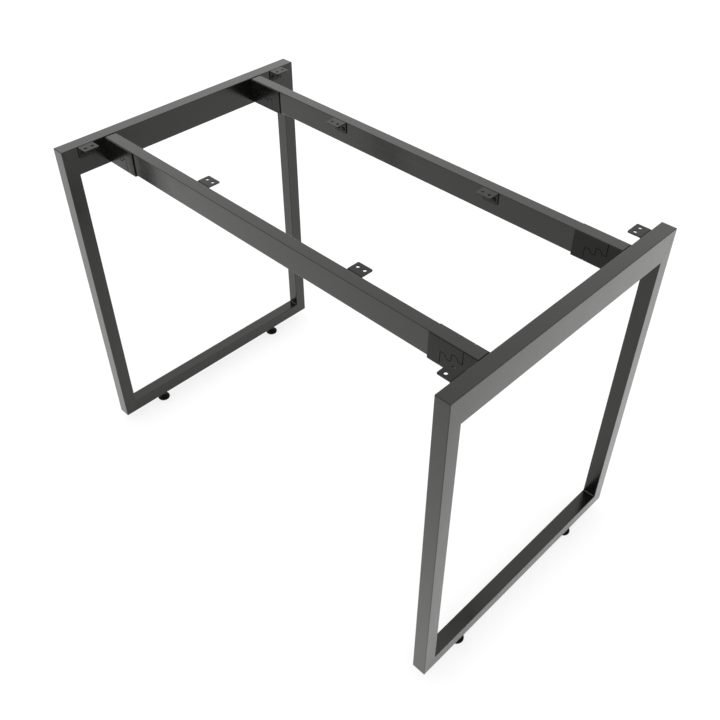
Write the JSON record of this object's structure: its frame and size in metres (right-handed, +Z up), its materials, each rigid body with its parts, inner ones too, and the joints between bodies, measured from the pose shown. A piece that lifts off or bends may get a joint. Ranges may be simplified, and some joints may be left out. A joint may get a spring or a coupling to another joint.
{
  "type": "knock-down desk frame",
  "caption": "Steel desk frame with loop legs, rails that hook into them, tabletop fixing tabs and levelling feet; no tabletop.",
  "frame": {"origin": "on the floor under the middle of the frame", "axes": "+X along the rails to the right, +Y from front to back, +Z up"},
  "size_m": [1.037, 0.616, 0.7675],
  "materials": {
    "frame_steel": "satin black powder coat",
    "fittings_steel": "deep black powder coat",
    "black_steel": "black oxide",
    "moulding": "matt black moulding"
  },
  "bodies": {
    "legs": {"left_top_bar": "frame_steel", "left_front_post": "frame_steel", "left_back_post": "frame_steel", "left_bottom_bar": "frame_steel", "right_top_bar": "frame_steel", "right_front_post": "frame_steel", "right_back_post": "frame_steel", "right_bottom_bar": "frame_steel", "front_left_socket": "fittings_steel", "back_left_socket": "fittings_steel", "front_right_socket": "fittings_steel", "back_right_socket": "fittings_steel", "left_front_tab": "fittings_steel", "left_back_tab": "fittings_steel", "right_front_tab": "fittings_steel", "right_back_tab": "fittings_steel", "left_tab_screws": "black_steel", "right_tab_screws": "black_steel", "left_front_insert": "black_steel", "left_back_insert": "black_steel", "right_front_insert": "black_steel", "right_back_insert": "black_steel"},
    "front_rail": {"front_rail_tube": "frame_steel", "front_left_hook": "fittings_steel", "front_right_hook": "fittings_steel", "front_rail_left_tab": "fittings_steel", "front_rail_right_tab": "fittings_steel", "front_rail_screws": "black_steel"},
    "back_rail": {"back_rail_tube": "frame_steel", "back_left_hook": "fittings_steel", "back_right_hook": "fittings_steel", "back_rail_left_tab": "fittings_steel", "back_rail_right_tab": "fittings_steel", "back_rail_screws": "black_steel"},
    "left_front_foot": {"left_front_pad": "moulding", "left_front_stud": "black_steel"},
    "left_back_foot": {"left_back_pad": "moulding", "left_back_stud": "black_steel"},
    "right_front_foot": {"right_front_pad": "moulding", "right_front_stud": "black_steel"},
    "right_back_foot": {"right_back_pad": "moulding", "right_back_stud": "black_steel"}
  },
  "joints": [
    {"name": "front_rail_lift", "type": "slide", "parent": "legs", "child": "front_rail", "axis": [0, 0, 1], "range_m": [0, 0.06]},
    {"name": "back_rail_lift", "type": "slide", "parent": "legs", "child": "back_rail", "axis": [0, 0, 1], "range_m": [0, 0.06]},
    {"name": "left_front_foot_screw", "type": "slide", "parent": "legs", "child": "left_front_foot", "axis": [0, 0, -1], "range_m": [-0.015, 0.003]},
    {"name": "left_back_foot_screw", "type": "slide", "parent": "legs", "child": "left_back_foot", "axis": [0, 0, -1], "range_m": [-0.015, 0.003]},
    {"name": "right_front_foot_screw", "type": "slide", "parent": "legs", "child": "right_front_foot", "axis": [0, 0, -1], "range_m": [-0.015, 0.003]},
    {"name": "right_back_foot_screw", "type": "slide", "parent": "legs", "child": "right_back_foot", "axis": [0, 0, -1], "range_m": [-0.015, 0.003]}
  ]
}
